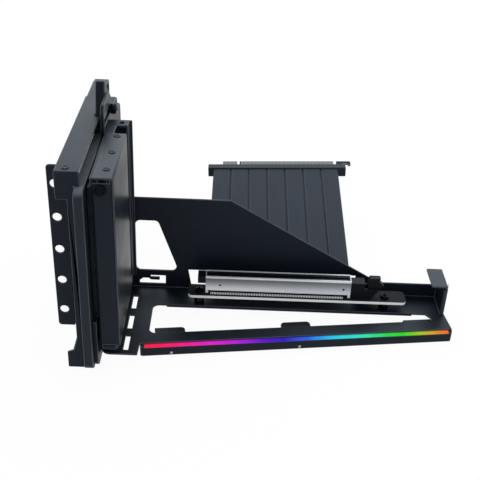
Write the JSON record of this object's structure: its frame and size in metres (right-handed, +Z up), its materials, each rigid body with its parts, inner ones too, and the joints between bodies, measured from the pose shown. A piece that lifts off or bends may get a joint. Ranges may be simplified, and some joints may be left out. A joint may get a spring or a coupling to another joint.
{
  "type": "vertical gpu bracket",
  "caption": "Folded black metal bracket that holds a graphics card upright in a computer case, with slot box, light bar, tray and a riser slot on a flat ribbon.",
  "frame": {"origin": "centre of the middle case-screw hole, on the flange's front face", "axes": "+X along the card towards the case's front, +Y away from the case's glass side, +Z up"},
  "size_m": [0.2356, 0.2106, 0.1427],
  "materials": {
    "black_sheet": "satin black powder coat",
    "cover_black": "smooth semi-gloss black paint",
    "black_screw": "blackened steel",
    "steel_screw": "plain bright steel",
    "shield_steel": "bright drawn steel sheet",
    "board_black": "black solder-masked laminate",
    "board_white": "white light-strip laminate",
    "black_plastic": "moulded black plastic",
    "post_brass": "turned brass",
    "pin_gold": "plated contact tails",
    "ribbon_black": "soft ribbed cable sheath",
    "glow_strip": "milky light guide lit in a run of colours"
  },
  "bodies": {
    "rear_unit": {"slot_panel": "black_sheet", "rear_hood": "black_sheet", "rear_frame": "black_sheet", "hood_screw": "black_screw", "adjust_knob": "black_screw", "guide_screws": "black_screw"},
    "carrier": {"slide_plate": "black_sheet", "slot_box": "black_sheet", "tray": "black_sheet", "light_channel": "black_sheet", "slot_cover": "cover_black", "cover_screws": "black_screw", "box_front_screw": "black_screw", "plate_screws": "black_screw", "back_screws": "black_screw", "end_hook_screw": "steel_screw", "light_screws": "steel_screw", "board_screws": "steel_screw", "slot_shield": "shield_steel", "riser_board": "board_black", "plug_card": "board_black", "led_strip": "board_white", "slot_body": "black_plastic", "plug_housing": "black_plastic", "end_hook": "black_plastic", "board_posts": "post_brass", "slot_contacts": "pin_gold", "riser_ribbon": "ribbon_black", "light_diffuser": "glow_strip"},
    "latch": {"slot_latch": "black_plastic"}
  },
  "joints": [
    {"name": "depth_slide", "type": "slide", "parent": "rear_unit", "child": "carrier", "axis": [0, 1, 0], "range_m": [0, 0.02]},
    {"name": "latch_turn", "type": "hinge", "parent": "carrier", "child": "latch", "pos_m": [0.1824, 0.03775, -0.0446], "axis": [0, 1, 0], "range_deg": [0, 25]}
  ]
}
